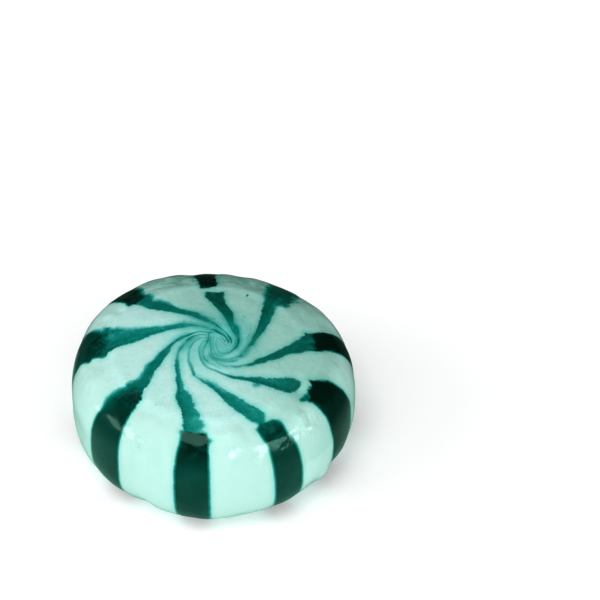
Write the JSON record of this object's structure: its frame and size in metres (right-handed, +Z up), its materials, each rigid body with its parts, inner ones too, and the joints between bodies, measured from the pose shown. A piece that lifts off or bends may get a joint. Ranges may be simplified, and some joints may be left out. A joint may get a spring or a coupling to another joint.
{
  "type": "starlight mint",
  "caption": "Round pillow-shaped boiled sweet with dark green stripes down the side that twist into a swirl on each face.",
  "frame": {"origin": "middle of the mint's bounding box in X and Y, on the surface that it rests on", "axes": "+Z up through the thickness, out of the shown face; -Y towards the side that faces the picture's camera"},
  "size_m": [0.0246, 0.0252, 0.0116],
  "materials": {
    "candy": "glossy boiled sugar, pale mint green with dark green stripes"
  },
  "bodies": {
    "root": {"mint": "candy"}
  },
  "joints": []
}
